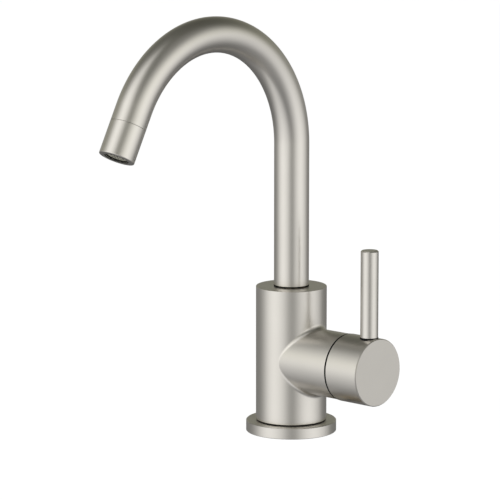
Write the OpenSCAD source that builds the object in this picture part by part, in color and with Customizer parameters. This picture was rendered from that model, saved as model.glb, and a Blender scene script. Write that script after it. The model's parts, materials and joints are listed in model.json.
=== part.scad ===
// Gooseneck bar faucet with a side lever, as an assembly of separate pieces.
// +Z is up. The origin is on the column's axis, at the underside of the base flange,
// where the faucet stands on the deck. The spout reaches towards -Y and the handle
// towards +X. Lengths are in millimetres.

/* [Spout] */
// Outside diameter of the spout tube
tube_d = 22; // [18:0.5:25]
// Wall of the spout tube
tube_wall = 1.2; // [1:0.1:1.8]
// Radius of the gooseneck bend, on the tube's centre line
arch_r = 74; // [60:0.5:90]
// Height of the bend's centre above the deck
arch_z = 183; // [150:0.5:230]
// Angle that the bend turns through
bend_angle = 152; // [135:1:170]
// Straight length from the end of the bend to the outlet
outlet_straight = 31.5; // [30:0.5:50]
// Length of the outlet sleeve beyond its seam
sleeve_len = 21; // [18:0.5:26]
// Length of the turned journal that the spout swivels on
journal_len = 26; // [25:0.5:28]

/* [Column] */
// Height of the column, without the base flange
column_h = 85.2; // [80:0.1:110]
// How much larger in radius the column is than the valve housing
column_step = 1.5; // [1:0.1:4]
// Radius of the cast blend between column and valve housing
blend_r = 3; // [2:0.25:4]
// Chamfer on the column's edges
edge_chamfer = 0.4; // [0.2:0.1:0.8]

/* [Base] */
// How far the base flange stands out from the column
flange_lip = 6.2; // [4:0.1:9]
// Thickness of the base flange
flange_h = 7; // [6:0.5:10]
// Thickness of the black ring between column and base flange
base_ring_h = 0.6; // [0.5:0.1:1.2]
// Outside diameter of the threaded mounting shank
shank_d = 32; // [31:0.5:33]
// Wall of the mounting shank
shank_wall = 2.5; // [2:0.1:3]
// Length of the mounting shank below the deck face
shank_len = 55; // [50:1:70]
// Diameter of the bush that centres the shank in the deck hole
bush_d = 34.5; // [34.2:0.1:35]
// Height of the centring bush
bush_h = 5; // [3:0.5:8]
// Thickness of the deck that the clamp is set for
deck_t = 20; // [12:1:26]
// Outside diameter of the clamp's nut and washers
clamp_d = 48; // [47:0.5:52]
// Height of the clamp's locknut
locknut_h = 10; // [8:0.5:12]

/* [Valve] */
// Height of the handle's axis above the deck
handle_z = 47.1; // [45:0.1:52]
// Diameter of the ceramic cartridge
cartridge_d = 35; // [34:0.5:37]
// Wall of the valve housing round the cartridge
housing_wall = 3.2; // [2.8:0.1:4.5]
// Distance from the column's axis to the housing's end face
housing_reach = 46.3; // [45:0.1:52]
// Depth of the retaining nut below the housing's end face
nut_sink = 5.3; // [4.5:0.1:7]
// Thickness of each ceramic disc
disc_t = 4; // [3:0.25:4.5]
// Diameter of the cartridge's stem
stem_d = 12; // [11:0.5:13]
// Width across the flats of the stem's square end
drive_w = 8; // [7:0.25:8.5]
// Diameter of the two water inlets
inlet_d = 6; // [5:0.25:6.5]
// Diameter of the water outlet
outlet_d = 8; // [7:0.25:9]
// Distance between the two hose ports
port_pitch = 13; // [12:0.25:14]
// Thread diameter of the hose ports
port_d = 9; // [8.5:0.25:9.5]

/* [Handle] */
// Gap between the housing's end face and the hub
hub_gap = 1.2; // [1.1:0.1:2]
// Length of the handle hub
hub_len = 24.7; // [23:0.1:30]
// How much larger in radius the hub is than the valve housing
hub_step = 0.4; // [0:0.1:1]
// Chamfer on the hub's outer face
hub_chamfer = 0.5; // [0.3:0.1:1]
// Diameter of the lever rod
lever_d = 11.1; // [9:0.1:12]
// Height of the lever's top above the handle's axis
lever_top = 75.8; // [60:0.1:100]
// Distance of the lever's axis from the hub's outer face
lever_inset = 7.3; // [7:0.1:9]
// Angle that the handle turns through from shut to full hot
handle_travel = 90; // [80:5:100]

/* [Outlet] */
// Width of the metal rim round the outlet
rim_w = 2.6; // [2.2:0.1:3]
// Width of the dark gap between the rim and the aerator
rim_gap = 0.2; // [0.2:0.1:1]
// Depth of the aerator's face inside the outlet
aerator_recess = 0.5; // [0.3:0.1:1.5]
// Depth of the bore that holds the aerator
aerator_depth = 12; // [11:0.5:14]
// Spacing of the screen's holes
screen_pitch = 1.9; // [1.8:0.1:2.4]

/* [Fits] */
// Radial clearance of a turning fit
run_fit = 0.06; // [0.04:0.01:0.09]
// Radial clearance of a screwed or brazed joint
joint_fit = 0.05; // [0.03:0.01:0.1]
// Clearance between faces that move past each other
face_gap = 0.3; // [0.2:0.05:0.4]

/* [Hidden] */

$fn = 96;

nickel = [0.72, 0.70, 0.66];
brass = [0.78, 0.64, 0.36];
steel = [0.70, 0.71, 0.72];
black_rubber = [0.06, 0.06, 0.06];
black_plastic = [0.10, 0.10, 0.10];
grey_plastic = [0.55, 0.54, 0.50];
white_plastic = [0.90, 0.90, 0.87];
ceramic = [0.95, 0.94, 0.90];

// Radii, from the cartridge outwards
tube_r = tube_d / 2;
tube_bore_r = tube_r - tube_wall;
cartridge_r = cartridge_d / 2;
cavity_r = cartridge_r + 2 * joint_fit;
housing_r = cavity_r + housing_wall;
column_r = housing_r + column_step;
hub_r = housing_r + hub_step;
flange_r = column_r + flange_lip;
shank_r = shank_d / 2;
shank_bore_r = shank_r - shank_wall;
lever_r = lever_d / 2;
stem_r = stem_d / 2;
small_chamfer = 0.3;
thread_chamfer = 0.8;
shank_clearance = 0.3;

// Gasket in the flange's underside, and how far the black ring stands back
gasket_inset = 4;
gasket_margin = 2.5;
gasket_in = shank_r + gasket_inset;
gasket_out = flange_r - gasket_margin;
gasket_h = 1.6;
base_ring_inset = 0.7;

// Heights
column_z = flange_h + base_ring_h;
column_top = column_z + column_h;
shank_socket_h = 14;
shank_top = column_z + shank_socket_h;
journal_top = column_top + joint_fit;
spout_washer_h = 0.8;
tube_z = journal_top + spout_washer_h;
port_len = 10;

// Places along the handle's axis, from the housing's end face inwards to the cartridge seat
nut_t = 7;
shell_roof_t = 3.6;
driver_t = 3;
cartridge_base_t = 5;
nut_top_x = housing_reach - nut_sink;
shell_top_x = nut_top_x - nut_t;
shell_roof_x = shell_top_x - shell_roof_t;
driver_x = shell_roof_x - face_gap - driver_t;
moving_disc_x = driver_x - disc_t;
fixed_disc_x = moving_disc_x - joint_fit - disc_t;
seat_x = fixed_disc_x - cartridge_base_t;
hub_x = housing_reach + hub_gap;
hub_end_x = hub_x + hub_len;
lever_x = hub_end_x - lever_inset;

// Cartridge ports, as [sideways, upwards] offsets from the handle's axis
inlet_drop = 5;
outlet_rise = 8;
inlets = [[-port_pitch / 2, -inlet_drop], [port_pitch / 2, -inlet_drop]];
outlet = [0, outlet_rise];
seal_w = 1.6;
seal_h = 1.2;
pin_r = 1.4;
pin_h = 2;
pin_places = [[12, 7], [-12, 7]];

// Inside the cartridge: the shell has two stops, which the stem's lug turns between
shell_wall = 3.3;
shell_bore_r = cartridge_r - shell_wall;
disc_r = shell_bore_r - 2 * joint_fit;
neck_wall = 3.5;
neck_r = stem_r + neck_wall;
stop_depth = 2.2;
stop_r = disc_r - stop_depth;
stop_angle = 12;
stop_margin = 2;
lug_angle = 24;
channel_r = 8;
channel_w = 6;
channel_angle = 130;
stem_o_ring_r = 0.8;
stem_groove_h = 2;
stem_groove_inset = 3;
stem_groove_x = shell_top_x + stem_groove_inset;
stem_end_x = lever_x - lever_r;

// Ring that the hub glides past
glide_skirt_h = 3;
glide_wall = 1.3;
glide_inset = 0.1;

// How the lever and the hub's screw sit in the hub
lever_sink = 1.5;
lever_seat = hub_r - lever_sink;
lever_ring_h = 1.6;
lever_ring_w = 0.2;
lever_spigot_r = 4;
lever_spigot_h = 9.5;
lever_top_chamfer = 0.6;
hub_screw_inset = 9;
hub_screw_x = hub_x + hub_screw_inset;
hub_screw_h = 8;
dog_h = 2;
hub_recess_margin = 1.5;
hub_recess_r = neck_r + hub_recess_margin;
hub_recess_h = 4;

// Spout journal: drops are below its top shoulder, rises above its lower end
slip_ring_drop = 3;
slip_ring_h = 3;
screw_drop = 12;
groove_h = 4.2;
groove_depth = 2;
o_ring_rises = [4, 8.5];
o_ring_r = 1.2;
o_ring_groove_h = 2.9;
waterway_r = 6.5;
journal_spigot_h = 12;
slip_ring_depth = 1;
slip_ring_split = 1.5;
spout_washer_lip = 0.1;
journal_z = journal_top - journal_len;
socket_z = journal_z - face_gap;
journal_r = tube_r - run_fit;

// Spout set screw
set_screw_r = 2.5;
dog_r = 1.6;
hex_key_r = 1.4;
screw_sink = 2;
screw_z = journal_top - screw_drop;

// Outlet
bend_end = [0, -arch_r + arch_r * cos(bend_angle), arch_z + arch_r * sin(bend_angle)];
seam_s = outlet_straight - sleeve_len;
spigot_len = 8;
seal_t = 1.5;
aerator_r = tube_r - rim_w - rim_gap;
sleeve_bore_r = aerator_r + 2 * joint_fit;
aerator_wall = 1.1;
screen_t = 1;
jet_disc_t = 1.5;
regulator_t = 1.5;
lip_t = 0.8;
lip_w = 0.4;
mouth_r = tube_r - rim_w;
mouth_depth = 3;
seam_chamfer = 0.25;
sleeve_step = 2;
ledge_wall = 0.6;
notch_w = 2.6;
notch_depth = 1.5;
notch_reach = 0.9;
notches = 6;
aerator_len = aerator_depth - aerator_recess - seal_t;
screen_r = aerator_r - aerator_wall;

// Clamp under the deck
rubber_t = 3;
steel_t = 2;
clamp_r = clamp_d / 2;
steel_lip = 0.5;
rubber_z = -deck_t - rubber_t;
steel_z = rubber_z - steel_t;
locknut_z = steel_z - locknut_h;
lock_screw_r = 2;
lock_screw_len = 16;
lock_screw_ring_r = (shank_r + clamp_r) / 2;
lock_screw_angles = [30, 150, 270];

// ---------- Shared shapes ----------

// A turned bar along +Z, with a chamfer at its lower and upper edge
module bar(r, h, low = 0, high = 0) {
    rotate_extrude()
        polygon([[0, 0], [r - low, 0], [r, low], [r, h - high], [r - high, h], [0, h]]);
}

// A plain ring along +Z
module ring(r, bore, h) {
    rotate_extrude()
        polygon([[bore, 0], [r, 0], [r, h], [bore, h]]);
}

// An O-ring round Z, at the height of its middle
module o_ring(outer_r, section_r) {
    rotate_extrude()
        translate([outer_r - section_r, 0]) circle(r = section_r);
}

// A set screw along +Z with a dog point below and a hexagon socket above
module set_screw(r, h, point_r, point_h) {
    difference() {
        union() {
            cylinder(r = r, h = h);
            translate([0, 0, -point_h]) cylinder(r = point_r, h = point_h + 1);
        }
        translate([0, 0, h - r]) cylinder(r = hex_key_r, h = r + 1, $fn = 6);
    }
}

// Moves children onto the handle's axis: their +Z points along +X, their +X down
module on_handle_axis(x) {
    translate([x, 0, handle_z]) rotate([0, 90, 0]) children();
}

// Moves children to a port of the cartridge
module at_port(x, place) {
    translate([x, place[0], handle_z + place[1]]) rotate([0, 90, 0]) children();
}

// Moves children to a distance past the end of the bend: their +Z is the way the water leaves
module on_outlet_axis(s) {
    translate(bend_end) rotate([bend_angle, 0, 0]) translate([0, 0, s]) children();
}

// Moves children behind the column: their +Z points along +Y
module on_screw_axis(y) {
    translate([0, y, screw_z]) rotate([-90, 0, 0]) children();
}

// The bend of the gooseneck, for any round section drawn about the tube's centre
module bend() {
    translate([0, -arch_r, arch_z]) rotate([90, 0, 90])
        rotate_extrude(angle = bend_angle) translate([arch_r, 0]) children();
}

// ---------- Cast blend between column and housing ----------

// A ball of radius blend_r rolls round the corner, touching both cylinders. Each section
// holds the arc between its two contact lines and one anchor inside the metal.
blend_sections = 60;
blend_steps = 6;
blend_bite = 0.05;
anchor_depth = 2.8;

function ball_centre(a) = let (y = (housing_r + blend_r) * sin(a))
    [sqrt(pow(column_r + blend_r, 2) - y * y), y, (housing_r + blend_r) * cos(a)];
function to_housing(a) = [0, -sin(a), -cos(a)];
function to_column(a) = let (c = ball_centre(a)) -[c[0], c[1], 0] / (column_r + blend_r);
function arc_point(a, t) = let (
        u = to_housing(a), v = to_column(a), w = acos(u * v),
        d = (sin((1 - t) * w) * u + sin(t * w) * v) / sin(w)
    ) ball_centre(a) + (blend_r + blend_bite) * d;
function anchor(a) = let (y = (housing_r - anchor_depth) * sin(a))
    [sqrt(pow(column_r - anchor_depth, 2) - y * y), y, (housing_r - anchor_depth) * cos(a)];

module cast_blend() {
    row = blend_steps + 2;
    points = [
        for (i = [0 : blend_sections - 1]) let (a = 360 * i / blend_sections)
            each concat([for (j = [0 : blend_steps]) arc_point(a, j / blend_steps)], [anchor(a)])
    ];
    faces = [
        for (i = [0 : blend_sections - 1], j = [0 : row - 1])
            let (p = i * row, q = (i + 1) % blend_sections * row, k = (j + 1) % row)
                each [[p + j, p + k, q + k], [p + j, q + k, q + j]]
    ];
    translate([0, 0, handle_z]) polyhedron(points, faces);
}

// ---------- Base ----------

module base_flange() {
    color(nickel) difference() {
        bar(flange_r, flange_h, small_chamfer, edge_chamfer);
        translate([0, 0, -1]) cylinder(r = shank_r + shank_clearance, h = flange_h + 2);
        translate([0, 0, -1]) ring(gasket_out, gasket_in, gasket_h + 1);
    }
}

module deck_gasket() {
    color(black_rubber) ring(gasket_out, gasket_in, gasket_h);
}

module centring_bush() {
    color(black_plastic) translate([0, 0, -bush_h])
        ring(bush_d / 2, shank_r + joint_fit, bush_h);
}

module mounting_shank() {
    color(brass) translate([0, 0, -shank_len])
        difference() {
            bar(shank_r, shank_len + shank_top, thread_chamfer, 0);
            translate([0, 0, -1]) cylinder(r = shank_bore_r, h = shank_len + shank_top + 2);
        }
}

module base_ring() {
    color(black_rubber) translate([0, 0, flange_h])
        ring(column_r - base_ring_inset, shank_r + shank_clearance, base_ring_h);
}

// ---------- Body casting ----------

module faucet_body() {
    color(nickel) difference() {
        union() {
            translate([0, 0, column_z]) bar(column_r, column_h, edge_chamfer, edge_chamfer);
            on_handle_axis(0) bar(housing_r, housing_reach, 0, small_chamfer);
            cast_blend();
        }
        spout_socket();
        cartridge_cavity();
        supply_waterways();
        translate([0, 0, column_z - 1])
            cylinder(r = shank_r + joint_fit, h = shank_socket_h + 1);
        on_screw_axis(0) cylinder(r = set_screw_r + joint_fit, h = column_r + 1);
    }
}

module spout_socket() {
    translate([0, 0, socket_z]) cylinder(r = tube_r, h = column_top - socket_z + 1);
    translate([0, 0, handle_z + outlet_rise])
        cylinder(d = outlet_d, h = socket_z - handle_z - outlet_rise + 1);
}

module cartridge_cavity() {
    on_handle_axis(seat_x) cylinder(r = cavity_r, h = housing_reach - seat_x + 1);
    at_port(-outlet_d / 2, outlet) cylinder(d = outlet_d, h = seat_x + outlet_d / 2 + 1);
    for (place = pin_places) at_port(seat_x - pin_h - face_gap, place)
        cylinder(r = pin_r + joint_fit, h = pin_h + face_gap + 1);
}

module supply_waterways() {
    for (place = inlets) {
        at_port(0, place) cylinder(d = inlet_d, h = seat_x + 1);
        translate([0, place[0], shank_top - 1])
            cylinder(d = inlet_d, h = handle_z + place[1] - shank_top + 1);
        translate([0, place[0], shank_top - 1]) cylinder(d = port_d, h = port_len + 1);
    }
}

// ---------- Cartridge ----------

module cartridge_base() {
    color(white_plastic) difference() {
        union() {
            on_handle_axis(seat_x) cylinder(r = cartridge_r, h = cartridge_base_t);
            for (place = pin_places) at_port(seat_x - pin_h, place)
                cylinder(r = pin_r, h = pin_h + 1);
        }
        for (place = inlets) seal_seat(place, inlet_d);
        seal_seat(outlet, outlet_d);
    }
}

module seal_seat(place, d) {
    at_port(seat_x - 1, place) cylinder(d = d, h = cartridge_base_t + 2);
    at_port(seat_x - 1, place) cylinder(d = d + 2 * seal_w, h = seal_h + 1);
}

module port_seals() {
    color(black_rubber) {
        for (place = inlets) at_port(seat_x, place) ring(inlet_d / 2 + seal_w, inlet_d / 2, seal_h);
        at_port(seat_x, outlet) ring(outlet_d / 2 + seal_w, outlet_d / 2, seal_h);
    }
}

module fixed_disc() {
    color(ceramic) difference() {
        on_handle_axis(fixed_disc_x) cylinder(r = disc_r, h = disc_t);
        for (place = inlets) at_port(fixed_disc_x - 1, place) cylinder(d = inlet_d, h = disc_t + 2);
        at_port(fixed_disc_x - 1, outlet) cylinder(d = outlet_d, h = disc_t + 2);
    }
}

module cartridge_shell() {
    color(white_plastic) {
        on_handle_axis(fixed_disc_x) difference() {
            union() {
                cylinder(r = cartridge_r, h = shell_top_x - fixed_disc_x);
                cylinder(r = neck_r, h = nut_top_x - fixed_disc_x);
            }
            translate([0, 0, -1]) cylinder(r = shell_bore_r, h = shell_roof_x - fixed_disc_x + 1);
            translate([0, 0, -1]) cylinder(r = stem_r + run_fit, h = nut_top_x - fixed_disc_x + 2);
        }
        // one stop at each end of the lug's travel, with a small margin
        for (a = [-lug_angle / 2 - stop_angle - stop_margin, lug_angle / 2 + handle_travel + stop_margin])
            on_handle_axis(driver_x) rotate([0, 0, a])
                rotate_extrude(angle = stop_angle) translate([stop_r, 0])
                    square([shell_bore_r - stop_r + shell_wall / 2, driver_t + face_gap]);
    }
}

module retaining_nut() {
    slot_w = 3;
    slot_h = 2.5;
    color(brass) on_handle_axis(shell_top_x) difference() {
        bar(cavity_r - joint_fit, nut_t, 0, small_chamfer);
        translate([0, 0, -1]) cylinder(r = neck_r + joint_fit, h = nut_t + 2);
        for (a = [0, 90]) rotate([0, 0, a])
            translate([-cavity_r, -slot_w / 2, nut_t - slot_h]) cube([2 * cavity_r, slot_w, slot_h + 1]);
    }
}

module glide_ring() {
    flange_t = hub_gap - face_gap;
    outer_r = housing_r - glide_inset;
    skirt_r = cavity_r - joint_fit;
    inner_r = skirt_r - glide_wall;
    color(black_plastic) on_handle_axis(housing_reach) rotate_extrude() polygon([
        [inner_r, -glide_skirt_h], [skirt_r, -glide_skirt_h], [skirt_r, 0],
        [outer_r, 0], [outer_r, flange_t], [inner_r, flange_t]
    ]);
}

// ---------- Moving half of the valve and the handle ----------

module moving_disc() {
    color(ceramic) on_handle_axis(moving_disc_x) difference() {
        cylinder(r = disc_r - 1, h = disc_t);
        rotate([0, 0, 180 - channel_angle / 2]) translate([0, 0, -1])
            rotate_extrude(angle = channel_angle)
                translate([channel_r - channel_w / 2, 0]) square([channel_w, disc_t / 2 + 1]);
    }
}

module cartridge_stem() {
    color(brass) difference() {
        union() {
            on_handle_axis(driver_x) cylinder(r = stop_r - face_gap, h = driver_t);
            on_handle_axis(driver_x) rotate([0, 0, -lug_angle / 2])
                rotate_extrude(angle = lug_angle)
                    translate([stop_r - 1, 0]) square([shell_bore_r - stop_r + 1 - face_gap, driver_t]);
            on_handle_axis(driver_x) cylinder(r = stem_r, h = nut_top_x + 1 - driver_x);
            on_handle_axis((nut_top_x + stem_end_x) / 2)
                cube([drive_w, drive_w, stem_end_x - nut_top_x], center = true);
        }
        on_handle_axis(stem_groove_x)
            ring(stem_r + 1, stem_r - 2 * stem_o_ring_r - joint_fit, stem_groove_h);
    }
}

module stem_o_ring() {
    color(black_rubber) on_handle_axis(stem_groove_x + stem_groove_h / 2)
        o_ring(stem_r + run_fit / 2, stem_o_ring_r);
}

module handle_hub() {
    color(nickel) difference() {
        on_handle_axis(hub_x) bar(hub_r, hub_len, small_chamfer, hub_chamfer);
        on_handle_axis(hub_x - 1) cylinder(r = hub_recess_r, h = hub_recess_h + 1);
        on_handle_axis((hub_x + stem_end_x + face_gap) / 2)
            cube([drive_w + 2 * joint_fit, drive_w + 2 * joint_fit, stem_end_x + face_gap - hub_x],
                center = true);
        translate([lever_x, 0, handle_z + lever_seat])
            cylinder(r = lever_r + lever_ring_w + 2 * joint_fit, h = hub_r);
        translate([lever_x, 0, handle_z + lever_seat - lever_spigot_h + lever_ring_h - face_gap])
            cylinder(r = lever_spigot_r + joint_fit, h = hub_r);
        translate([hub_screw_x, 0, handle_z - hub_r - 1])
            cylinder(r = set_screw_r + joint_fit, h = hub_r);
    }
}

module hub_set_screw() {
    color(steel) translate([hub_screw_x, 0, handle_z - drive_w / 2 - joint_fit - dog_h])
        rotate([180, 0, 0]) set_screw(set_screw_r, hub_screw_h, dog_r, dog_h);
}

module lever_ring() {
    color(black_rubber) translate([lever_x, 0, handle_z + lever_seat])
        ring(lever_r + lever_ring_w, lever_spigot_r + joint_fit, lever_ring_h);
}

module lever_rod() {
    rod_z = lever_seat + lever_ring_h;
    color(nickel) translate([lever_x, 0, handle_z + rod_z]) union() {
        bar(lever_r, lever_top - rod_z, small_chamfer, lever_top_chamfer);
        translate([0, 0, -lever_spigot_h]) cylinder(r = lever_spigot_r, h = lever_spigot_h + 1);
    }
}

// ---------- Spout ----------

module spout_journal() {
    color(brass) difference() {
        union() {
            translate([0, 0, journal_z]) bar(journal_r, journal_len, thread_chamfer, 0);
            translate([0, 0, journal_top - 1])
                bar(tube_bore_r - joint_fit, spout_washer_h + journal_spigot_h + 1, 0, small_chamfer);
        }
        translate([0, 0, journal_z - 1])
            cylinder(r = waterway_r, h = journal_len + spout_washer_h + journal_spigot_h + 2);
        translate([0, 0, journal_top - slip_ring_drop - slip_ring_h])
            ring(tube_r + 1, journal_r - slip_ring_depth, slip_ring_h);
        translate([0, 0, screw_z - groove_h / 2])
            ring(tube_r + 1, tube_r - groove_depth, groove_h);
        for (rise = o_ring_rises) translate([0, 0, journal_z + rise - o_ring_groove_h / 2])
            ring(tube_r + 1, journal_r - 2 * o_ring_r, o_ring_groove_h);
    }
}

// A split nylon ring that guides the top of the journal
module slip_ring() {
    color(white_plastic) translate([0, 0, journal_top - slip_ring_drop - slip_ring_h + joint_fit])
        difference() {
            ring(tube_r - run_fit / 2, journal_r - slip_ring_depth + joint_fit,
                slip_ring_h - 2 * joint_fit);
            translate([0, -slip_ring_split / 2, -1])
                cube([tube_r + 1, slip_ring_split, slip_ring_h + 2]);
        }
}

module spout_o_rings() {
    color(black_rubber) for (rise = o_ring_rises) translate([0, 0, journal_z + rise])
        o_ring(tube_r - run_fit / 2, o_ring_r);
}

module spout_washer() {
    color(black_plastic) translate([0, 0, journal_top])
        ring(tube_r + spout_washer_lip, tube_bore_r, spout_washer_h);
}

// The straight lengths lap the bend by a hair, and are a hair thicker, so that all fuse
bend_lap = 0.05;
bend_skin = 0.002;

module straight_tube(h) {
    ring(tube_r + bend_skin, tube_bore_r - bend_skin, h);
}

module spout_tube() {
    color(nickel) union() {
        translate([0, 0, tube_z]) straight_tube(arch_z - tube_z + bend_lap);
        bend() difference() {
            circle(r = tube_r);
            circle(r = tube_bore_r);
        }
        on_outlet_axis(-bend_lap) straight_tube(seam_s + bend_lap);
    }
}

module outlet_sleeve() {
    color(nickel) difference() {
        union() {
            on_outlet_axis(seam_s) bar(tube_r, sleeve_len, seam_chamfer, edge_chamfer);
            on_outlet_axis(seam_s - spigot_len)
                bar(tube_bore_r - joint_fit, spigot_len + 1, small_chamfer, 0);
        }
        on_outlet_axis(seam_s - spigot_len - 1)
            cylinder(r = sleeve_bore_r - sleeve_step, h = spigot_len + sleeve_len + 2);
        on_outlet_axis(outlet_straight - aerator_depth)
            cylinder(r = sleeve_bore_r, h = aerator_depth + 1);
        on_outlet_axis(outlet_straight - mouth_depth)
            cylinder(r = mouth_r, h = mouth_depth + 1);
    }
}

// ---------- Aerator ----------

aerator_s = outlet_straight - aerator_depth + seal_t;
aerator_face_s = outlet_straight - aerator_recess;
ledge_h = regulator_t + jet_disc_t;

module aerator_seal() {
    color(black_rubber) on_outlet_axis(outlet_straight - aerator_depth)
        ring(aerator_r, sleeve_bore_r - sleeve_step, seal_t);
}

module aerator_shell() {
    color(grey_plastic) on_outlet_axis(aerator_s) difference() {
        cylinder(r = aerator_r, h = aerator_len);
        translate([0, 0, -1]) cylinder(r = screen_r - lip_w, h = aerator_len + 2);
        translate([0, 0, -1]) cylinder(r = screen_r, h = aerator_len - lip_t + 1);
        translate([0, 0, -1]) cylinder(r = aerator_r - ledge_wall, h = ledge_h + 1);
        for (i = [0 : notches - 1]) rotate([0, 0, 360 * i / notches])
            translate([aerator_r - notch_reach, -notch_w / 2, aerator_len - notch_depth])
                cube([notch_reach + 1, notch_w, notch_depth + 1]);
    }
}

// Holes of a round perforated disc, on rings about its centre
module hole_rings(rings, pitch, hole_r, h) {
    cylinder(r = hole_r, h = h, $fn = 6);
    for (k = [1 : rings], i = [0 : 6 * k - 1]) rotate([0, 0, 60 * i / k])
        translate([pitch * k, 0, 0]) cylinder(r = hole_r, h = h, $fn = 6);
}

module aerator_screen() {
    hole_r = 0.36 * screen_pitch;
    rings = floor((screen_r - lip_w - 2 * hole_r) / screen_pitch);
    color(grey_plastic) on_outlet_axis(aerator_face_s - lip_t - screen_t) difference() {
        cylinder(r = screen_r - joint_fit, h = screen_t);
        translate([0, 0, -1]) hole_rings(rings, screen_pitch, hole_r, screen_t + 2);
    }
}

module jet_disc() {
    jet_r = 0.6;
    jet_inset = 1.8;
    color(white_plastic) on_outlet_axis(aerator_s + regulator_t) difference() {
        cylinder(r = aerator_r - ledge_wall - joint_fit, h = jet_disc_t);
        for (a = [0 : 30 : 330]) rotate([0, 0, a])
            translate([screen_r - jet_inset, 0, -1]) cylinder(r = jet_r, h = jet_disc_t + 2);
    }
}

module flow_regulator() {
    bore_r = 2;
    arm_w = 1.2;
    arm_len = 2;
    color(black_rubber) on_outlet_axis(aerator_s) difference() {
        cylinder(r = aerator_r - ledge_wall - joint_fit, h = regulator_t);
        translate([0, 0, -1]) cylinder(r = bore_r, h = regulator_t + 2);
        for (a = [0 : 60 : 300]) rotate([0, 0, a])
            translate([0, -arm_w / 2, -1]) cube([bore_r + arm_len, arm_w, regulator_t + 2]);
    }
}

// ---------- Screw that holds the spout in its socket ----------

module spout_set_screw() {
    tip_y = tube_r - groove_depth + face_gap;
    body_y = tube_r + face_gap;
    color(steel) on_screw_axis(body_y)
        set_screw(set_screw_r, column_r - body_y - screw_sink, dog_r, body_y - tip_y);
}

// ---------- Clamp under the deck ----------

module rubber_washer() {
    color(black_rubber) translate([0, 0, rubber_z])
        ring(clamp_r, shank_r + shank_clearance, rubber_t);
}

module steel_washer() {
    color(steel) translate([0, 0, steel_z])
        ring(clamp_r + steel_lip, shank_r + shank_clearance, steel_t);
}

module locknut() {
    grip_w = 6;
    grip_depth = 2;
    color(brass) translate([0, 0, locknut_z]) difference() {
        bar(clamp_r, locknut_h, edge_chamfer, edge_chamfer);
        translate([0, 0, -1]) cylinder(r = shank_r + run_fit, h = locknut_h + 2);
        for (a = [0 : 60 : 300]) rotate([0, 0, a])
            translate([clamp_r - grip_depth, -grip_w / 2, -1])
                cube([grip_depth + 1, grip_w, locknut_h - 2]);
        for (a = lock_screw_angles) rotate([0, 0, a])
            translate([lock_screw_ring_r, 0, -1])
                cylinder(r = lock_screw_r + joint_fit, h = locknut_h + 2);
    }
}

module lock_screws() {
    head_r = 3;
    head_h = 2.5;
    color(steel) for (a = lock_screw_angles) rotate([0, 0, a])
        translate([lock_screw_ring_r, 0, steel_z - lock_screw_len]) difference() {
            union() {
                cylinder(r = lock_screw_r, h = lock_screw_len);
                translate([0, 0, -head_h]) bar(head_r, head_h, small_chamfer, 0);
            }
            translate([0, 0, -head_h - 1]) cylinder(r = hex_key_r, h = head_h, $fn = 6);
        }
}

// ---------- Drawing ----------

base_flange();
deck_gasket();
centring_bush();
mounting_shank();
base_ring();
faucet_body();
cartridge_base();
port_seals();
fixed_disc();
cartridge_shell();
retaining_nut();
glide_ring();
moving_disc();
cartridge_stem();
stem_o_ring();
handle_hub();
hub_set_screw();
lever_ring();
lever_rod();
spout_journal();
slip_ring();
spout_o_rings();
spout_washer();
spout_tube();
outlet_sleeve();
aerator_seal();
flow_regulator();
jet_disc();
aerator_screen();
aerator_shell();
spout_set_screw();
rubber_washer();
steel_washer();
locknut();
lock_screws();
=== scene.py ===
"""Gooseneck bar faucet in satin nickel: finishes, smooth skins, studio and camera.

All lengths are metres, in the frame of the CAD model: +Z up, the spout reaches towards -Y and
the handle towards +X. The deck is at z = 0, and the floor just below it stands for it.
"""

import json
from math import atan2, cos, pi, radians, sin, sqrt

import bpy
from mathutils import Matrix, Vector


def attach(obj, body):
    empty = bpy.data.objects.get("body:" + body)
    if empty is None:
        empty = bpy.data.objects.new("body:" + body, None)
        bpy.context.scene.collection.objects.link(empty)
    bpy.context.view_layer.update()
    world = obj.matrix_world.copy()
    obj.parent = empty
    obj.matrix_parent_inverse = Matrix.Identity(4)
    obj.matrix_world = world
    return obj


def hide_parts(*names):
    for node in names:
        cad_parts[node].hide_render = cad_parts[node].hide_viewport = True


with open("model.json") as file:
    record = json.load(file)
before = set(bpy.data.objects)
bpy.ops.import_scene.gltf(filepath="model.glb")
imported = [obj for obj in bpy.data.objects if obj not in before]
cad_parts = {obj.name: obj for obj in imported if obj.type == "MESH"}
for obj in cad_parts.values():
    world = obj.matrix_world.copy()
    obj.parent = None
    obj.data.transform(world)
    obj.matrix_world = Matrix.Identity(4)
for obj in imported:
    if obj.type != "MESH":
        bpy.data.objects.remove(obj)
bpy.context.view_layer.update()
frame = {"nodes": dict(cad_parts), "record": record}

# ---------- Sizes, as in the CAD model ----------

MM = 0.001

TUBE_R = 11 * MM
TUBE_BORE_R = 9.8 * MM
TUBE_Z = 93.65 * MM
ARCH_R = 74 * MM
ARCH_Z = 183 * MM
BEND_ANGLE = radians(152)
# Distances past the end of the bend
SEAM_S = 10.5 * MM
OUTLET_S = 31.5 * MM
MOUTH_R = 8.4 * MM
MOUTH_DEPTH = 3 * MM
SLEEVE_BORE_R = 8.3 * MM
AERATOR_RECESS = 0.5 * MM

COLUMN_R = 22.3 * MM
COLUMN_Z = 7.6 * MM
COLUMN_TOP = 92.8 * MM
BLEND_R = 3 * MM
SHANK_R = 16 * MM
SHANK_BORE_R = 13.5 * MM
SHANK_LOW = -55 * MM
SHANK_TOP = 21.6 * MM
THREAD_PITCH = 1.5 * MM

HANDLE_Z = 47.1 * MM
HOUSING_R = 20.8 * MM
HOUSING_END = 46.3 * MM
CAVITY_R = 17.6 * MM
HUB_X = 47.5 * MM

SCREW_Z = 80.85 * MM
SCREW_R = 2.55 * MM

# ---------- Meshes ----------

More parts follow.
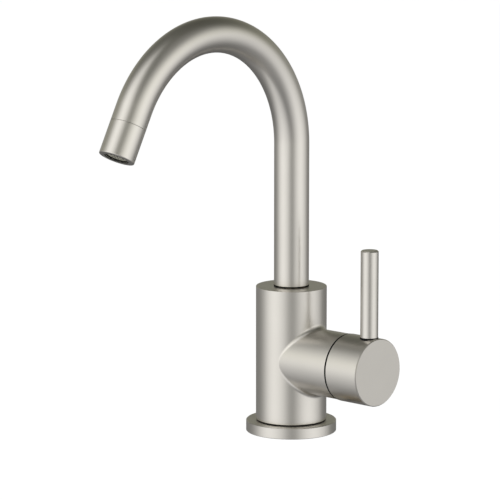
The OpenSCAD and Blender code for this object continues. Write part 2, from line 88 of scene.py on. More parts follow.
SEGMENTS = 128
ROUND_STEPS = 5
EDGE = 0.4 * MM
SAME_PLACE = 1e-9


class Skin:
    """Vertices, exact normals, brush-line coordinates and faces of one piece."""

    def __init__(self):
        self.points, self.normals, self.grain, self.faces = [], [], [], []

    def point(self, at, normal, grain):
        self.points.append(Vector(at))
        self.normals.append(Vector(normal).normalized())
        self.grain.append(grain)
        return len(self.points) - 1

    def bridge(self, row_a, row_b, closed=True):
        """Quads between two rows of vertices of the same length."""
        count = len(row_a)
        for i in range(count if closed else count - 1):
            j = (i + 1) % count
            self.faces.append((row_a[i], row_a[j], row_b[j], row_b[i]))

    def build(self, name, material, body, replaced=()):
        mesh = bpy.data.meshes.new(name)
        mesh.from_pydata(self.points, [], self.wound_faces())
        mesh.shade_smooth()
        mesh.normals_split_custom_set_from_vertices(self.normals)
        grain = mesh.attributes.new("grain", "FLOAT_VECTOR", "POINT")
        grain.data.foreach_set("vector", [c for g in self.grain for c in g])
        mesh.materials.append(material)
        piece = bpy.data.objects.new(name, mesh)
        bpy.context.scene.collection.objects.link(piece)
        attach(piece, body)
        if replaced:
            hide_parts(*replaced)
        return piece

    def wound_faces(self):
        """The faces, each wound so that it looks the way its normals do."""
        wound = []
        for face in self.faces:
            a, b, c = (self.points[i] for i in face[:3])
            d = self.points[face[-1]]
            across = (c - a).cross(d - b)
            looks = sum((self.normals[i] for i in face), Vector())
            wound.append(face if across.dot(looks) >= 0 else face[::-1])
        return wound


def outward(direction):
    """The outward normal beside a direction of travel with the metal on its left."""
    direction = direction.normalized()
    return Vector((direction.y, -direction.x))


def outline(corners):
    """A turned profile as (radius, height, normal, length) points, from (radius, height, rounding)
    corners that run anticlockwise round the metal. A corner with no rounding is a sharp edge."""
    places = [Vector(corner[:2]) for corner in corners]
    points = []
    for i, (_, _, rounding) in enumerate(corners):
        here = places[i]
        before = (here - places[i - 1]).normalized()
        after = (places[(i + 1) % len(places)] - here).normalized()
        if rounding == 0:
            points += [(here, outward(before)), (here, outward(after))]
            continue
        turn = before.angle(after)
        reach = rounding * abs(sin(turn / 2) / cos(turn / 2))
        side = 1 if before.cross(after) > 0 else -1
        centre = here - before * reach - outward(before) * rounding * side
        for k in range(ROUND_STEPS + 1):
            angle = side * turn * k / ROUND_STEPS
            normal = Matrix.Rotation(angle, 2) @ outward(before)
            points.append((centre + normal * rounding * side, normal))
    points.append(points[0])
    rows, length = [], 0.0
    for i, (at, normal) in enumerate(points):
        if i:
            length += (at - points[i - 1][0]).length
        rows.append((at.x, at.y, normal, length))
    return rows


def turned(skin, profile, place):
    """Turns a profile round the local Z of place."""
    turn = place.to_3x3()
    last = None
    for r, z, normal, length in profile:
        row = []
        for i in range(SEGMENTS):
            a = 2 * pi * i / SEGMENTS
            ca, sa = cos(a), sin(a)
            row.append(
                skin.point(
                    place @ Vector((r * ca, r * sa, z)),
                    turn @ Vector((normal.x * ca, normal.x * sa, normal.y)),
                    (r * ca, r * sa, length),
                )
            )
        if last and (last[1] - Vector((r, z))).length > SAME_PLACE:
            skin.bridge(last[0], row)
        last = (row, Vector((r, z)))


def handle_place(x):
    """Local Z along +X, on the handle's axis."""
    return Matrix.Translation((x, 0, HANDLE_Z)) @ Matrix.Rotation(pi / 2, 4, "Y")


def outlet_place(s):
    """Local Z the way the water leaves, at a distance past the end of the bend."""
    end = Vector(
        (0, -ARCH_R + ARCH_R * cos(BEND_ANGLE), ARCH_Z + ARCH_R * sin(BEND_ANGLE))
    )
    way = Matrix.Rotation(BEND_ANGLE, 4, "X")
    return Matrix.Translation(end) @ way @ Matrix.Translation((0, 0, s))


# ---------- Finishes ----------


class Finish:
    """A material's node tree, with the Principled shader ready."""

    def __init__(self, name, color, metallic, roughness, specular=0.5):
        self.material = bpy.data.materials.new(name)
        self.material.use_nodes = True
        self.tree = self.material.node_tree
        self.shader = self.tree.nodes["Principled BSDF"]
        self.shader.inputs["Metallic"].default_value = metallic
        self.shader.inputs["Roughness"].default_value = roughness
        self.shader.inputs["Base Color"].default_value = (*color, 1)
        self.shader.inputs["Specular IOR Level"].default_value = specular

    def node(self, kind, settings=(), **inputs):
        """A new node. An input is named by its label, or by _ and its number."""
        made = self.tree.nodes.new(kind)
        for key, value in settings:
            setattr(made, key, value)
        for key, value in inputs.items():
            number = key[1:]
            socket = made.inputs[
                int(number) if number.isdigit() else key.replace("_", " ")
            ]
            if isinstance(value, bpy.types.NodeSocket):
                self.tree.links.new(value, socket)
            else:
                socket.default_value = value
        return made

    def noise(self, coords, scale, detail):
        found = self.node(
            "ShaderNodeTexNoise", Vector=coords, Scale=scale, Detail=detail
        )
        return found.outputs["Fac"]

    def spread(self, value, low, high):
        """A 0 to 1 value as a range, for roughness."""
        found = self.node("ShaderNodeMapRange", Value=value, To_Min=low, To_Max=high)
        return found.outputs["Result"]

    def tint(self, value, low, high):
        """A colour between two, by a 0 to 1 value."""
        mix = self.node(
            "ShaderNodeMix", [("data_type", "RGBA")], _0=value, _6=(*low, 1), _7=(*high, 1)
        )
        return mix.outputs[2]

    def bump(self, height, strength, distance):
        found = self.node(
            "ShaderNodeBump", Height=height, Strength=strength, Distance=distance
        )
        return found.outputs["Normal"]

    def wire(self, **inputs):
        for key, socket in inputs.items():
            self.tree.links.new(socket, self.shader.inputs[key.replace("_", " ")])


NICKEL = (0.70, 0.675, 0.632)
NICKEL_DARK = (0.66, 0.635, 0.592)
NICKEL_ROUGHNESS = (0.29, 0.35)
CLOUDS_PER_METRE = 45
BRUSH_ALONG, BRUSH_ACROSS = 60, 9000
BRUSH_BUMP, BRUSH_DEPTH = 0.05, 0.00004


def satin_nickel(name, axis=None):
    """Brushed nickel plate. With an axis, the brush lines run round that axis of the object;
    without one they follow the grain coordinates that a skin carries."""
    finish = Finish(name, NICKEL, 1.0, NICKEL_ROUGHNESS[0])
    if axis is None:
        source = finish.node("ShaderNodeAttribute", [("attribute_name", "grain")])
        coords, across = source.outputs["Vector"], "Z"
    else:
        source = finish.node("ShaderNodeTexCoord")
        coords, across = source.outputs["Object"], axis
    scale = [BRUSH_ALONG] * 3
    scale["XYZ".index(across)] = BRUSH_ACROSS
    stretched = finish.node("ShaderNodeMapping", Vector=coords, Scale=scale)
    lines = finish.noise(stretched.outputs["Vector"], 1.0, 2)
    clouds = finish.noise(coords, CLOUDS_PER_METRE, 3)
    finish.wire(
        Base_Color=finish.tint(clouds, NICKEL_DARK, NICKEL),
        Roughness=finish.spread(lines, *NICKEL_ROUGHNESS),
        Normal=finish.bump(lines, BRUSH_BUMP, BRUSH_DEPTH),
    )
    return finish.material


SHADE = 0.85
GLOSS_SPREAD = 0.12
BROAD_SCALE = 1 / 12
PLAIN_BUMP = 0.25
BLACK = (0.006, 0.006, 0.006)
BLACK_SPECULAR = 0.12


def plain(name, color, metallic, roughness, bump_scale, bump_height, specular=0.5):
    """A moulded, rubber, ceramic or machined surface: fine bumps, uneven gloss and tone."""
    finish = Finish(name, color, metallic, roughness, specular)
    coords = finish.node("ShaderNodeTexCoord").outputs["Object"]
    fine = finish.noise(coords, bump_scale, 4)
    broad = finish.noise(coords, bump_scale * BROAD_SCALE, 2)
    finish.wire(
        Base_Color=finish.tint(broad, tuple(SHADE * c for c in color), color),
        Roughness=finish.spread(fine, roughness, min(1.0, roughness + GLOSS_SPREAD)),
        Normal=finish.bump(fine, PLAIN_BUMP, bump_height),
    )
    return finish.material


AERATOR_GREY = (0.3, 0.29, 0.24)
# Black of the moulding, also used as painted shade on the walls of the screen's holes
AERATOR_BLACK_AND_HOLE_SHADE = (0.004, 0.004, 0.004)
AERATOR_ROUGHNESS = (0.42, 0.6)
SPECKLES_PER_METRE = 1600
SPECKLE_BUMP, SPECKLE_DEPTH = 0.3, 0.00002
FLAT_ENOUGH = 0.8


def aerator_finish_and_hole_shade():
    """Dull warm grey on the flat face, across the water's way; black on every other face: the
    moulding's own black on its rim and lip, and painted shade on the walls of the screen's holes.
    """
    finish = Finish("aerator_face_and_hole_shade", AERATOR_GREY, 0.0, AERATOR_ROUGHNESS[0], 0.2)
    source = finish.node("ShaderNodeTexCoord")
    speckle = finish.noise(source.outputs["Object"], SPECKLES_PER_METRE, 3)
    water_way = (0, -sin(BEND_ANGLE), cos(BEND_ANGLE))
    facing = finish.node(
        "ShaderNodeVectorMath",
        [("operation", "DOT_PRODUCT")],
        _0=source.outputs["Normal"],
        _1=water_way,
    )
    flat = finish.node(
        "ShaderNodeMath",
        [("operation", "GREATER_THAN")],
        _0=facing.outputs["Value"],
        _1=FLAT_ENOUGH,
    )
    # Grey where a face looks along the water's way; black on every other face, which on the hole
    # walls is painted shade
    finish.wire(
        Base_Color=finish.tint(flat.outputs[0], AERATOR_BLACK_AND_HOLE_SHADE, AERATOR_GREY),
        Roughness=finish.spread(speckle, *AERATOR_ROUGHNESS),
        Normal=finish.bump(speckle, SPECKLE_BUMP, SPECKLE_DEPTH),
    )
    return finish.material


# Each by colour, metallic, roughness, bumps in a metre, bump height and, for black, specular
FINISHES = {
    "raw_brass": plain("raw_brass", (0.76, 0.58, 0.30), 1.0, 0.24, 1500, 0.00002),
    "stainless": plain("stainless", (0.62, 0.61, 0.60), 1.0, 0.28, 1800, 0.00002),
    "black_rubber": plain("black_rubber", BLACK, 0.0, 0.8, 2500, 0.00005, BLACK_SPECULAR),
    "black_plastic": plain("black_plastic", BLACK, 0.0, 0.6, 2200, 0.00003, BLACK_SPECULAR),
    "white_plastic": plain("white_plastic", (0.78, 0.78, 0.74), 0.0, 0.42, 1800, 0.00003),
    "grey_plastic": aerator_finish_and_hole_shade(),
    "ceramic": plain("ceramic", (0.86, 0.84, 0.79), 0.0, 0.16, 900, 0.00001),
}
NICKEL_UPRIGHT = satin_nickel("satin_nickel_upright", "Z")
NICKEL_HANDLE = satin_nickel("satin_nickel_handle", "X")
NICKEL_SKIN = satin_nickel("satin_nickel")

for part in frame["record"]["subparts"]:
    finish = FINISHES.get(part["material_slot"], NICKEL_UPRIGHT)
    if part["node"] == "handle_hub":
        finish = NICKEL_HANDLE
    for place in frame["nodes"][part["node"]].material_slots:
        place.material = finish


# ---------- Body casting ----------

GRID_STEP = radians(2.5)
HALF_TURN = round(pi / GRID_STEP)
# Blocks of the column's grid that are left out for a hole: first and last grid line round the
# column, lowest and highest height
HOUSING_BLOCK = (-34, 34, 15 * MM, 76.5 * MM)
SCREW_BLOCK = (32, 40, 76.5 * MM, 85.2 * MM)
HOUSING_ROWS = 26
SCREW_ROWS = 4
RING_STEPS = 6
BLEND_STEPS = 10
HOUSING_STEPS = 6
CAVITY_DEPTH = 12 * MM
SCREW_DEPTH = 6 * MM


def ball_centre(a):
    """Centre of the ball that rolls round the corner between column and housing."""
    reach = HOUSING_R + BLEND_R
    y = reach * sin(a)
    return Vector((sqrt((COLUMN_R + BLEND_R) ** 2 - y * y), y, HANDLE_Z + reach * cos(a)))


def column_point(skin, angle, z):
    way = Vector((cos(angle), sin(angle), 0))
    at = way * COLUMN_R + Vector((0, 0, z))
    return skin.point(at, way, (at.x, at.y, z))


def heights():
    """Grid lines up the column, with one on each edge of the two blocks."""
    low, high = HOUSING_BLOCK[2:]
    rows = [low + (high - low) * k / HOUSING_ROWS for k in range(HOUSING_ROWS + 1)]
    rise = SCREW_BLOCK[3] - high
    rows += [high + rise * k / SCREW_ROWS for k in range(1, SCREW_ROWS + 1)]
    return [COLUMN_Z + EDGE, *rows, COLUMN_TOP - EDGE]


def block_lines(block, rows):
    """A block's first and last grid lines round the column, and up it."""
    j0, j1 = (
        min(range(len(rows)), key=lambda j: abs(rows[j] - height)) for height in block[2:]
    )
    return block[0], block[1], j0, j1


def perimeter(block, rows):
    """Grid places round a block, anticlockwise as seen from outside."""
    i0, i1, j0, j1 = block_lines(block, rows)
    places = [(i, j0) for i in range(i0, i1)] + [(i1, j) for j in range(j0, j1)]
    places += [(i, j1) for i in range(i1, i0, -1)] + [(i0, j) for j in range(j1, j0, -1)]
    return places


def hole_rings(skin, grid, rows, block, target):
    """Quads from a block's perimeter in to a hole. Target gives the hole's edge, as an
    angle and a height, for a place on the perimeter. Returns the edge's vertices."""
    places = perimeter(block, rows)
    ring = [grid[place] for place in places]
    starts = [(i * GRID_STEP, rows[j]) for i, j in places]
    ends = [target(*start) for start in starts]
    for k in range(1, RING_STEPS + 1):
        t = k / RING_STEPS
        inner = [
            column_point(skin, a0 + (a1 - a0) * t, z0 + (z1 - z0) * t)
            for (a0, z0), (a1, z1) in zip(starts, ends)
        ]
        skin.bridge(ring, inner)
        ring = inner
    return ring


def roll_angle(angle, z):
    """Where on its way the ball is that lies nearest to a place on the column."""
    widest = atan2(ball_centre(pi / 2).y, ball_centre(pi / 2).x)
    return atan2(angle / widest, (z - HANDLE_Z) / (HOUSING_R + BLEND_R))


def blend_edge(angle, z):
    centre = ball_centre(roll_angle(angle, z))
    return atan2(centre.y, centre.x), centre.z


def screw_edge(angle, z):
    across, up = (angle - pi / 2) * COLUMN_R, z - SCREW_Z
    t = atan2(up, across)
    return pi / 2 + SCREW_R * cos(t) / COLUMN_R, SCREW_Z + SCREW_R * sin(t)


def rings_on(skin, place, angles, profile):
    """Rings of a turned surface at given angles round the local Z of place. Two rings at one
    place, with different normals, make a sharp edge."""
    turn = place.to_3x3()
    last = None
    for k, (r, z, normal_r, normal_z) in enumerate(profile):
        row = [
            skin.point(
                place @ Vector((r * cos(a), r * sin(a), z)),
                turn @ Vector((normal_r * cos(a), normal_r * sin(a), normal_z)),
                (r * cos(a), r * sin(a), z),
            )
            for a in angles
        ]
        if k and profile[k - 1][:2] != (r, z):
            skin.bridge(last, row)
        last = row


def rounded_end(r, z, way):
    """A quarter round from a side wall onto a flat end that faces up or down."""
    steps = [pi / 2 * k / ROUND_STEPS for k in range(ROUND_STEPS + 1)]
    return [
        (r - EDGE + EDGE * cos(t), z - way * (EDGE - EDGE * sin(t)), cos(t), way * sin(t))
        for t in steps
    ]


def column_grid(skin, rows):
    """The column's wall with its two blocks left out. Returns the grid's vertices."""
    grid = {}
    for j, z in enumerate(rows):
        for i in range(-HALF_TURN, HALF_TURN):
            grid[i, j] = column_point(skin, i * GRID_STEP, z)
        grid[HALF_TURN, j] = grid[-HALF_TURN, j]
    blocks = [block_lines(block, rows) for block in (HOUSING_BLOCK, SCREW_BLOCK)]
    for j in range(len(rows) - 1):
        for i in range(-HALF_TURN, HALF_TURN):
            if any(i0 <= i < i1 and j0 <= j < j1 for i0, i1, j0, j1 in blocks):
                continue
            skin.faces.append((grid[i, j], grid[i + 1, j], grid[i + 1, j + 1], grid[i, j + 1]))
    return grid


def column_ends(skin):
    """The column's top with the spout's bore, and its foot with the shank's socket."""
    angles = [i * GRID_STEP for i in range(-HALF_TURN, HALF_TURN)]
    upright = Matrix.Identity(4)
    top = rounded_end(COLUMN_R, COLUMN_TOP, 1)
    top += [(TUBE_R, COLUMN_TOP, 0, 1), (TUBE_R, COLUMN_TOP, -1, 0)]
    top += [(TUBE_R, COLUMN_TOP - CAVITY_DEPTH, -1, 0)]
    rings_on(skin, upright, angles, top)
    foot = rounded_end(COLUMN_R, COLUMN_Z, -1)
    foot += [(SHANK_R, COLUMN_Z, 0, -1), (SHANK_R, COLUMN_Z, -1, 0)]
    foot += [(SHANK_R, SHANK_TOP, -1, 0), (SHANK_R, SHANK_TOP, 0, -1), (0, SHANK_TOP, 0, -1)]
    rings_on(skin, upright, angles, foot)


def housing_skin(skin, grid, rows):
    """The blend out of the column, the housing's wall and the mouth of its cavity."""
    ring = hole_rings(skin, grid, rows, HOUSING_BLOCK, blend_edge)
    rolls = [roll_angle(i * GRID_STEP, rows[j]) for i, j in perimeter(HOUSING_BLOCK, rows)]
    for k in range(1, BLEND_STEPS + 1):
        t = k / BLEND_STEPS
        row = []
        for a in rolls:
            centre = ball_centre(a)
            to_column = -Vector((centre.x, centre.y, 0)).normalized()
            way = to_column.slerp(Vector((0, -sin(a), -cos(a))), t)
            at = centre + way * BLEND_R
            row.append(skin.point(at, -way, (at.x, at.y, at.z + (at.x - at.z) * t)))
        skin.bridge(ring, row)
        ring = row
    turns = [atan2(sin(a), -cos(a)) for a in rolls]
    for k in range(1, HOUSING_STEPS + 1):
        t = k / HOUSING_STEPS
        row = []
        for a, b in zip(rolls, turns):
            start = ball_centre(a).x
            x = start + (HOUSING_END - EDGE - start) * t
            way = Vector((0, sin(a), cos(a)))
            at = Vector((x, 0, HANDLE_Z)) + way * HOUSING_R
            row.append(skin.point(at, way, (HOUSING_R * cos(b), HOUSING_R * sin(b), x)))
        skin.bridge(ring, row)
        ring = row
    mouth = rounded_end(HOUSING_R, HOUSING_END, 1)
    mouth += [(CAVITY_R, HOUSING_END, 0, 1), (CAVITY_R, HOUSING_END, -1, 0)]
    mouth += [(CAVITY_R, HOUSING_END - CAVITY_DEPTH, -1, 0)]
    rings_on(skin, handle_place(0), turns, mouth)


def screw_hole(skin, grid, rows):
    """The hole in the column's back for the spout's set screw."""
    ring = hole_rings(skin, grid, rows, SCREW_BLOCK, screw_edge)
    edge = [skin.points[index] for index in ring]
    inward = [(Vector((0, at.y, SCREW_Z)) - at).normalized() for at in edge]
    wall = [
        [skin.point(at - Vector((0, depth, 0)), way, tuple(at)) for at, way in zip(edge, inward)]
        for depth in (0, SCREW_DEPTH)
    ]
    skin.bridge(*wall)


def body_casting():
    """The column with the valve housing blended into its side."""
    skin = Skin()
    rows = heights()
    grid = column_grid(skin, rows)
    column_ends(skin)
    housing_skin(skin, grid, rows)
    screw_hole(skin, grid, rows)
    return skin.build("body_casting", NICKEL_SKIN, "faucet", ["faucet_body"])


# ---------- Ring between housing and hub ----------

GLIDE_R = 21.05 * MM
GLIDE_SKIRT_R = 17.55 * MM
GLIDE_BORE_R = 16.25 * MM
GLIDE_SKIRT = 3 * MM
GLIDE_EDGE = 0.1 * MM
GLIDE_PLAY = 0.05 * MM


def gap_ring():
    """The black ring that fills nearly all of the gap and stands just proud of the housing."""
    skin = Skin()
    wide = HUB_X - HOUSING_END - GLIDE_PLAY
    corners = [
        (GLIDE_BORE_R, -GLIDE_SKIRT, 0),
        (GLIDE_SKIRT_R, -GLIDE_SKIRT, 0),
        (GLIDE_SKIRT_R, 0, 0),
        (GLIDE_R, 0, GLIDE_EDGE),
        (GLIDE_R, wide, GLIDE_EDGE),
        (GLIDE_BORE_R, wide, 0),
    ]
    turned(skin, outline(corners), handle_place(HOUSING_END))
    black = FINISHES["black_plastic"]
    return skin.build("gap_ring", black, "faucet", ["glide_ring"])


# ---------- Gooseneck ----------

BEND_RINGS = 96
SEAM_EDGE = 0.16 * MM
SEAM_GAP = 0.04 * MM


def spout_path():
    """Points of the gooseneck's centre line, each with its direction and its length so far."""
    path = [(Vector((0, 0, TUBE_Z)), Vector((0, 0, 1)), 0.0)]
    riser = ARCH_Z - TUBE_Z
    for k in range(BEND_RINGS + 1):
        a = BEND_ANGLE * k / BEND_RINGS
        at = Vector((0, -ARCH_R + ARCH_R * cos(a), ARCH_Z + ARCH_R * sin(a)))
        path.append((at, Vector((0, -sin(a), cos(a))), riser + ARCH_R * a))
    at, way, length = path[-1]
    path.append((at + way * SEAM_S, way, length + SEAM_S))
    return path


def tube_ring(skin, at, along, r, lean, done, last):
    """One ring of the gooseneck. Its normals lean from the side towards the path."""
    across = Vector((1, 0, 0))
    other = along.cross(across)
    row = []
    for i in range(SEGMENTS):
        a = 2 * pi * i / SEGMENTS
        out = across * cos(a) + other * sin(a)
        normal = out * cos(lean) + along * sin(lean)
        row.append(skin.point(at + out * r, normal, (r * cos(a), r * sin(a), done)))
    if last:
        skin.bridge(last, row)
    return row


def gooseneck():
    """The bent tube, with its wall, both end faces and a fine round on each edge."""
    skin = Skin()
    path = spout_path()
    edge = SEAM_EDGE
    (foot, up, _), (tip, way, length) = path[0], path[-1]
    tip = tip - way * SEAM_GAP
    outer = [(foot + up * edge, up, edge), *path[1:-1], (tip - way * edge, way, length - edge)]
    last = None
    for at, along, done in outer:
        last = tube_ring(skin, at, along, TUBE_R, 0.0, done, last)
    for t in (pi / 6, pi / 3, pi / 2):
        at = tip - way * (edge - edge * sin(t))
        last = tube_ring(skin, at, way, TUBE_R - edge + edge * cos(t), t, length, last)
    tube_ring(skin, tip, way, TUBE_BORE_R, pi / 2, length, last)
    last = None
    for at, along, done in reversed(path):
        last = tube_ring(skin, at, along, TUBE_BORE_R, pi, done, last)
    last = tube_ring(skin, foot, up, TUBE_BORE_R, -pi / 2, 0.0, None)
    for t in (pi / 2, pi / 3, pi / 6, 0):
        at = foot + up * (edge - edge * sin(t))
        last = tube_ring(skin, at, up, TUBE_R - edge + edge * cos(t), -t, 0.0, last)
    return skin.build("gooseneck", NICKEL_SKIN, "spout", ["spout_tube"])


# ---------- Outlet ----------

# Round enough for the mouth to stay inside the CAD model's box
MOUTH_EDGE = 0.55 * MM
MOUTH_INNER_EDGE = 0.1 * MM


def outlet_collar():
    """The outlet sleeve, from the fine seam down to its mouth."""
    skin = Skin()
    end = OUTLET_S - SEAM_S
    corners = [
        (SLEEVE_BORE_R, end - MOUTH_DEPTH, 0),
        (MOUTH_R, end - MOUTH_DEPTH, 0),
        (MOUTH_R, end, MOUTH_INNER_EDGE),
        (TUBE_R, end, MOUTH_EDGE),
        (TUBE_R, SEAM_GAP, SEAM_EDGE),
        (SLEEVE_BORE_R, SEAM_GAP, 0),
    ]
    turned(skin, outline(corners), outlet_place(SEAM_S))
    return skin.build("outlet_collar", NICKEL_SKIN, "spout", ["outlet_sleeve"])


TRIM_R = 8.36 * MM
TRIM_SUNK = 0.02 * MM
KEYS_R = 7.6 * MM
KEYS_INNER_R = 7.3 * MM
KEY_TOOTH_R = 6.8 * MM
KEYS_SUNK = 0.08 * MM
KEY_STEPS = 72
STEPS_PER_KEY = 6
TOOTH_STEPS = (2, 3)


def aerator_ring(name, outer_r, inner_r, tooth_r, sunk, material):
    """A ring that stands on the aerator's face, sunk a little below the mouth. Where tooth_r is
    less than inner_r, it has teeth inside for the key that screws the aerator in."""
    skin = Skin()
    place = outlet_place(OUTLET_S - AERATOR_RECESS)
    turn = place.to_3x3()
    high = AERATOR_RECESS - sunk

    def inner_radius(k):
        return tooth_r if k % STEPS_PER_KEY in TOOTH_STEPS else inner_r

    def spot(r, angle, z):
        return (r * cos(angle), r * sin(angle), z)

    def wall(edge_a, edge_b, normal):
        """A flat quad between two edges. An edge is two (radius, angle, height) places."""
        rows = [
            [skin.point(place @ Vector(spot(*at)), turn @ Vector(normal), spot(*at)) for at in edge]
            for edge in (edge_a, edge_b)
        ]
        skin.bridge(*rows, closed=False)

    for k in range(KEY_STEPS):
        a, b = 2 * pi * k / KEY_STEPS, 2 * pi * (k + 1) / KEY_STEPS
        middle = (a + b) / 2
        r = inner_radius(k)
        outer_low, outer_high = [[(outer_r, a, z), (outer_r, b, z)] for z in (0, high)]
        inner_low, inner_high = [[(r, a, z), (r, b, z)] for z in (0, high)]
        wall(outer_low, outer_high, spot(1, middle, 0))
        wall(outer_high, inner_high, (0, 0, 1))
        wall(inner_high, inner_low, spot(-1, middle, 0))
        wall(inner_low, outer_low, (0, 0, -1))
        before = inner_radius(k - 1)
        if before != r:
            flank_low, flank_high = [[(r, a, z), (before, a, z)] for z in (0, high)]
            wall(flank_low, flank_high, spot(1, a + (pi / 2 if before < r else -pi / 2), 0))
    return skin.build(name, material, "spout")


# ---------- Threaded shank ----------

THREAD_DEPTH = 0.9 * MM
THREAD_TOP = -0.5 * MM
# Share of the thread's depth at each step along one turn: crest, flank, root, flank
THREAD_SHAPE = (0.0, 0.5, 1.0, 0.5)
THREAD_STEPS = len(THREAD_SHAPE)
FLANK_SLOPE = atan2(THREAD_DEPTH, THREAD_PITCH / 2)
FLANK_LEANS = (0.0, FLANK_SLOPE, 0.0, -FLANK_SLOPE)


def bar_ring(skin, r, z, lean):
    """A level ring whose normals lean up from the side."""
    row = []
    for i in range(SEGMENTS):
        a = 2 * pi * i / SEGMENTS
        way = Vector((cos(a), sin(a), 0))
        normal = way * cos(lean) + Vector((0, 0, sin(lean)))
        row.append(skin.point(way * r + Vector((0, 0, z)), normal, (r * cos(a), r * sin(a), z)))
    return row


def thread_ring(skin, step):
    """One turn along the thread, cut off level where it meets the thread's ends."""
    row = []
    for i in range(SEGMENTS):
        a = 2 * pi * i / SEGMENTS
        z = SHANK_LOW + THREAD_PITCH * (step / THREAD_STEPS + i / SEGMENTS - 1)
        depth, lean = THREAD_SHAPE[step % THREAD_STEPS], FLANK_LEANS[step % THREAD_STEPS]
        if not SHANK_LOW < z < THREAD_TOP:
            z = min(max(z, SHANK_LOW), THREAD_TOP)
            depth, lean = 1.0, 0.0
        r = SHANK_R - THREAD_DEPTH * depth
        way = Vector((cos(a), sin(a), 0))
        normal = way * cos(lean) + Vector((0, 0, sin(lean)))
        row.append(skin.point(way * r + Vector((0, 0, z)), normal, (r * cos(a), r * sin(a), z)))
    return row


def threaded_shank():
    """The mounting shank with its thread cut all the way up to the flange."""
    skin = Skin()
    first = last = bar_ring(skin, SHANK_R - THREAD_DEPTH, SHANK_LOW, -pi / 2)
    steps = round((THREAD_TOP - SHANK_LOW) / THREAD_PITCH * THREAD_STEPS)
    rows = [thread_ring(skin, step) for step in range(steps + THREAD_STEPS + 1)]
    rows += [
        bar_ring(skin, r, z, lean)
        for r, z, lean in (
            (SHANK_R, THREAD_TOP, 0),
            (SHANK_R, SHANK_TOP, 0),
            (SHANK_R, SHANK_TOP, pi / 2),
            (SHANK_BORE_R, SHANK_TOP, pi / 2),
            (SHANK_BORE_R, SHANK_TOP, pi),
            (SHANK_BORE_R, SHANK_LOW, pi),
            (SHANK_BORE_R, SHANK_LOW, -pi / 2),
        )
    ]
    for row in [*rows, first]:
        skin.bridge(last, row)
        last = row
    brass = FINISHES["raw_brass"]
    return skin.build("threaded_shank", brass, "faucet", ["mounting_shank"])


body_casting()
gap_ring()
gooseneck()
outlet_collar()
aerator_ring("aerator_trim", TRIM_R, KEYS_R, KEYS_R, TRIM_SUNK, NICKEL_SKIN)
aerator_ring(
    "aerator_keys",
    KEYS_R,
    KEYS_INNER_R,
    KEY_TOOTH_R,
    KEYS_SUNK,
    FINISHES["black_plastic"],
)
threaded_shank()


# ---------- Camera ----------

# Fitted to the photograph together with the main sizes. Azimuths count from -Y towards +X.
CAMERA_AZIMUTH = radians(42.21)
CAMERA_DISTANCE = 2.080
CAMERA_HEIGHT = 0.480
CAMERA_PITCH = radians(9.942)
CAMERA_YAW = radians(0.7174)
FOCAL_PIXELS = 3364
PHOTO_PIXELS = 500
SENSOR_MM = 36


def around(azimuth, distance, height):
    """A place at an azimuth and a distance from the column's axis."""
    return Vector((sin(azimuth) * distance, -cos(azimuth) * distance, height))


def camera():
    data = bpy.data.cameras.new("camera")
    data.sensor_width = SENSOR_MM
    data.lens = FOCAL_PIXELS / PHOTO_PIXELS * SENSOR_MM
    data.clip_end = 20
    made = bpy.data.objects.new("camera", data)
    at = around(CAMERA_AZIMUTH, CAMERA_DISTANCE, CAMERA_HEIGHT)
    turn = Matrix.Rotation(CAMERA_AZIMUTH + CAMERA_YAW, 4, "Z")
    turn = turn @ Matrix.Rotation(pi / 2 - CAMERA_PITCH, 4, "X")
    made.matrix_world = Matrix.Translation(at) @ turn
    bpy.context.scene.collection.objects.link(made)
    bpy.context.scene.camera = made


# ---------- Studio ----------

# What metal mirrors: two big softboxes, one each side of the camera, in a dim room. The numbers
# are a scratch program's least squares fit to the photograph's shading, changed a little since.
# A row gives an angle in degrees and the brightness there. A softbox has two lists, which are
# multiplied: round the object, with 0 at the camera and more to its right, and up from the
# horizon. The room has one list, up from the horizon, whose third number is the share of blue.
LEFT_BOX = (
    [
        (-180, 0), (-150, 0.04), (-120, 0.07), (-100, 0.32), (-80, 0.83), (-60, 1.08),
        (-40, 0.95), (-20, 0.66), (-8, 0.23), (5, 0.14), (20, 0),
    ],
    [(-90, 0.5), (-45, 0.7), (-20, 0.9), (0, 1), (20, 1.14), (45, 1.16), (90, 0.5)],
)
RIGHT_BOX = (
    [
        (8, 0), (20, 0.49), (40, 0.89), (60, 1.05), (80, 0.84), (100, 0.52), (120, 0.04),
        (150, 0),
    ],
    [(-90, 0), (-45, 0.2), (-20, 0.93), (0, 1), (20, 0.85), (45, 0.24), (90, 0)],
)
ROOM = [
    (-90, 0.34, 1), (-45, 0.16, 1), (-20, 0.13, 1), (0, 0.34, 0.95), (15, 0.3, 0.8),
    (30, 0.14, 0.8), (45, 0.08, 0.8), (90, 0.13, 0.85),
]
# A colour ramp holds 0 to 1, so brightnesses are divided by this on the way in
BRIGHTEST = 1.3
DULL_LIGHT = (0.55, 0.55, 0.55, 1)
WHITE = (1, 1, 1, 1)


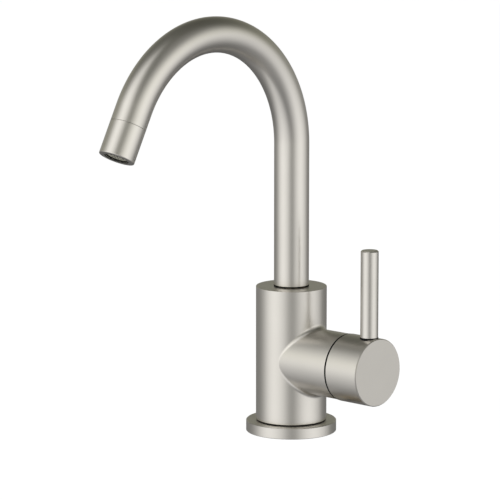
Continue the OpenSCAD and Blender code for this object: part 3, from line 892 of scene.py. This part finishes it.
def studio_world():
    """White for the camera, plain grey light for dull surfaces, softboxes for metal."""
    world = bpy.data.worlds.new("studio")
    world.use_nodes = True
    bpy.context.scene.world = world
    tree = world.node_tree
    nodes, links = tree.nodes, tree.links

    def feed(sockets, values):
        for socket, value in zip(sockets, values):
            if isinstance(value, bpy.types.NodeSocket):
                links.new(value, socket)
            else:
                socket.default_value = value

    def math(operation, *values, kind="ShaderNodeMath"):
        made = nodes.new(kind)
        made.operation = operation
        feed(made.inputs, values)
        return made.outputs[0]

    def vector(operation, *values):
        return math(operation, *values, kind="ShaderNodeVectorMath")

    def mixed(factor, color, other):
        made = nodes.new("ShaderNodeMix")
        made.data_type = "RGBA"
        feed((made.inputs[0], made.inputs[6], made.inputs[7]), (factor, color, other))
        return made.outputs[2]

    def ramp(value, rows, lowest, highest):
        made = nodes.new("ShaderNodeValToRGB")
        elements = made.color_ramp.elements
        elements.remove(elements[1])
        for k, (angle, bright, *blue) in enumerate(rows):
            at = (angle - lowest) / (highest - lowest)
            element = elements.new(at) if k else elements[0]
            element.position = at
            bright /= BRIGHTEST
            element.color = (bright, bright, bright * (blue or [1])[0], 1)
        links.new(value, made.inputs[0])
        return made.outputs[0]

    direction = nodes.new("ShaderNodeSeparateXYZ")
    links.new(nodes.new("ShaderNodeTexCoord").outputs["Generated"], direction.inputs[0])
    x, y, z = direction.outputs
    bearing = math("ADD", math("ARCTAN2", y, x), 1.5 * pi - CAMERA_AZIMUTH)
    bearing = math("FRACT", math("DIVIDE", bearing, 2 * pi))
    up = math("ADD", math("DIVIDE", math("ARCSINE", z), pi), 0.5)
    boxes = [
        math("MULTIPLY", ramp(bearing, sideways, -180, 180), ramp(up, upwards, -90, 90))
        for sideways, upwards in (LEFT_BOX, RIGHT_BOX)
    ]
    room = vector("MULTIPLY", ramp(up, ROOM, -90, 90), [BRIGHTEST] * 3)
    mirrored = vector("MULTIPLY_ADD", math("ADD", *boxes), [BRIGHTEST * BRIGHTEST] * 3, room)
    path = nodes.new("ShaderNodeLightPath").outputs
    metal = math("MAXIMUM", path["Is Glossy Ray"], path["Is Transmission Ray"])
    seen = mixed(metal, DULL_LIGHT, mirrored)
    seen = mixed(path["Is Camera Ray"], seen, WHITE)
    links.new(seen, nodes["Background"].inputs["Color"])


# Just below the flange's underside, so that the two faces don't coincide
FLOOR_Z = -0.1 * MM
FLOOR_R = 3.0
# Most of the floor's white is its own light, and the rest takes the shadow
FLOOR_GLOW = 1.07
GLOW_SHARE = 0.9


def floor():
    """A pale floor that keeps the shadow and can't be seen from below, where the clamp is."""
    bpy.ops.mesh.primitive_circle_add(
        vertices=96, radius=FLOOR_R, fill_type="NGON", location=(0, 0, FLOOR_Z)
    )
    disc = bpy.context.object
    disc.name = "floor"
    disc.visible_glossy = False
    finish = Finish("floor", (0.8, 0.8, 0.79), 0.0, 0.9)
    shine, glow, clear = (
        finish.shader.outputs[0],
        finish.node("ShaderNodeEmission", Strength=FLOOR_GLOW).outputs[0],
        finish.node("ShaderNodeBsdfTransparent").outputs[0],
    )
    above = finish.node("ShaderNodeMixShader", _0=GLOW_SHARE, _1=shine, _2=glow).outputs[0]
    back = finish.node("ShaderNodeNewGeometry").outputs["Backfacing"]
    mix = finish.node("ShaderNodeMixShader", _0=back, _1=above, _2=clear)
    finish.tree.links.new(mix.outputs[0], finish.tree.nodes["Material Output"].inputs[0])
    disc.data.materials.append(finish.material)


LAMP_SIZE = 0.8
LAMP_DISTANCE = 1.2
LAMP_TARGET = Vector((0, 0, 0.13))


def lamp(name, azimuth, height, energy):
    """A soft area lamp that looks at the faucet. Its azimuth is from the camera's."""
    at = around(CAMERA_AZIMUTH + azimuth, LAMP_DISTANCE, height)
    data = bpy.data.lights.new(name, "AREA")
    data.energy = energy
    data.size = LAMP_SIZE
    made = bpy.data.objects.new(name, data)
    turn = (LAMP_TARGET - at).to_track_quat("-Z", "Y").to_matrix().to_4x4()
    made.matrix_world = Matrix.Translation(at) @ turn
    made.visible_glossy = False
    bpy.context.scene.collection.objects.link(made)


studio_world()
floor()
lamp("key", radians(-50), 0.9, 12)
lamp("fill", radians(55), 0.7, 8)
camera()
bpy.context.scene.view_settings.view_transform = "Standard"
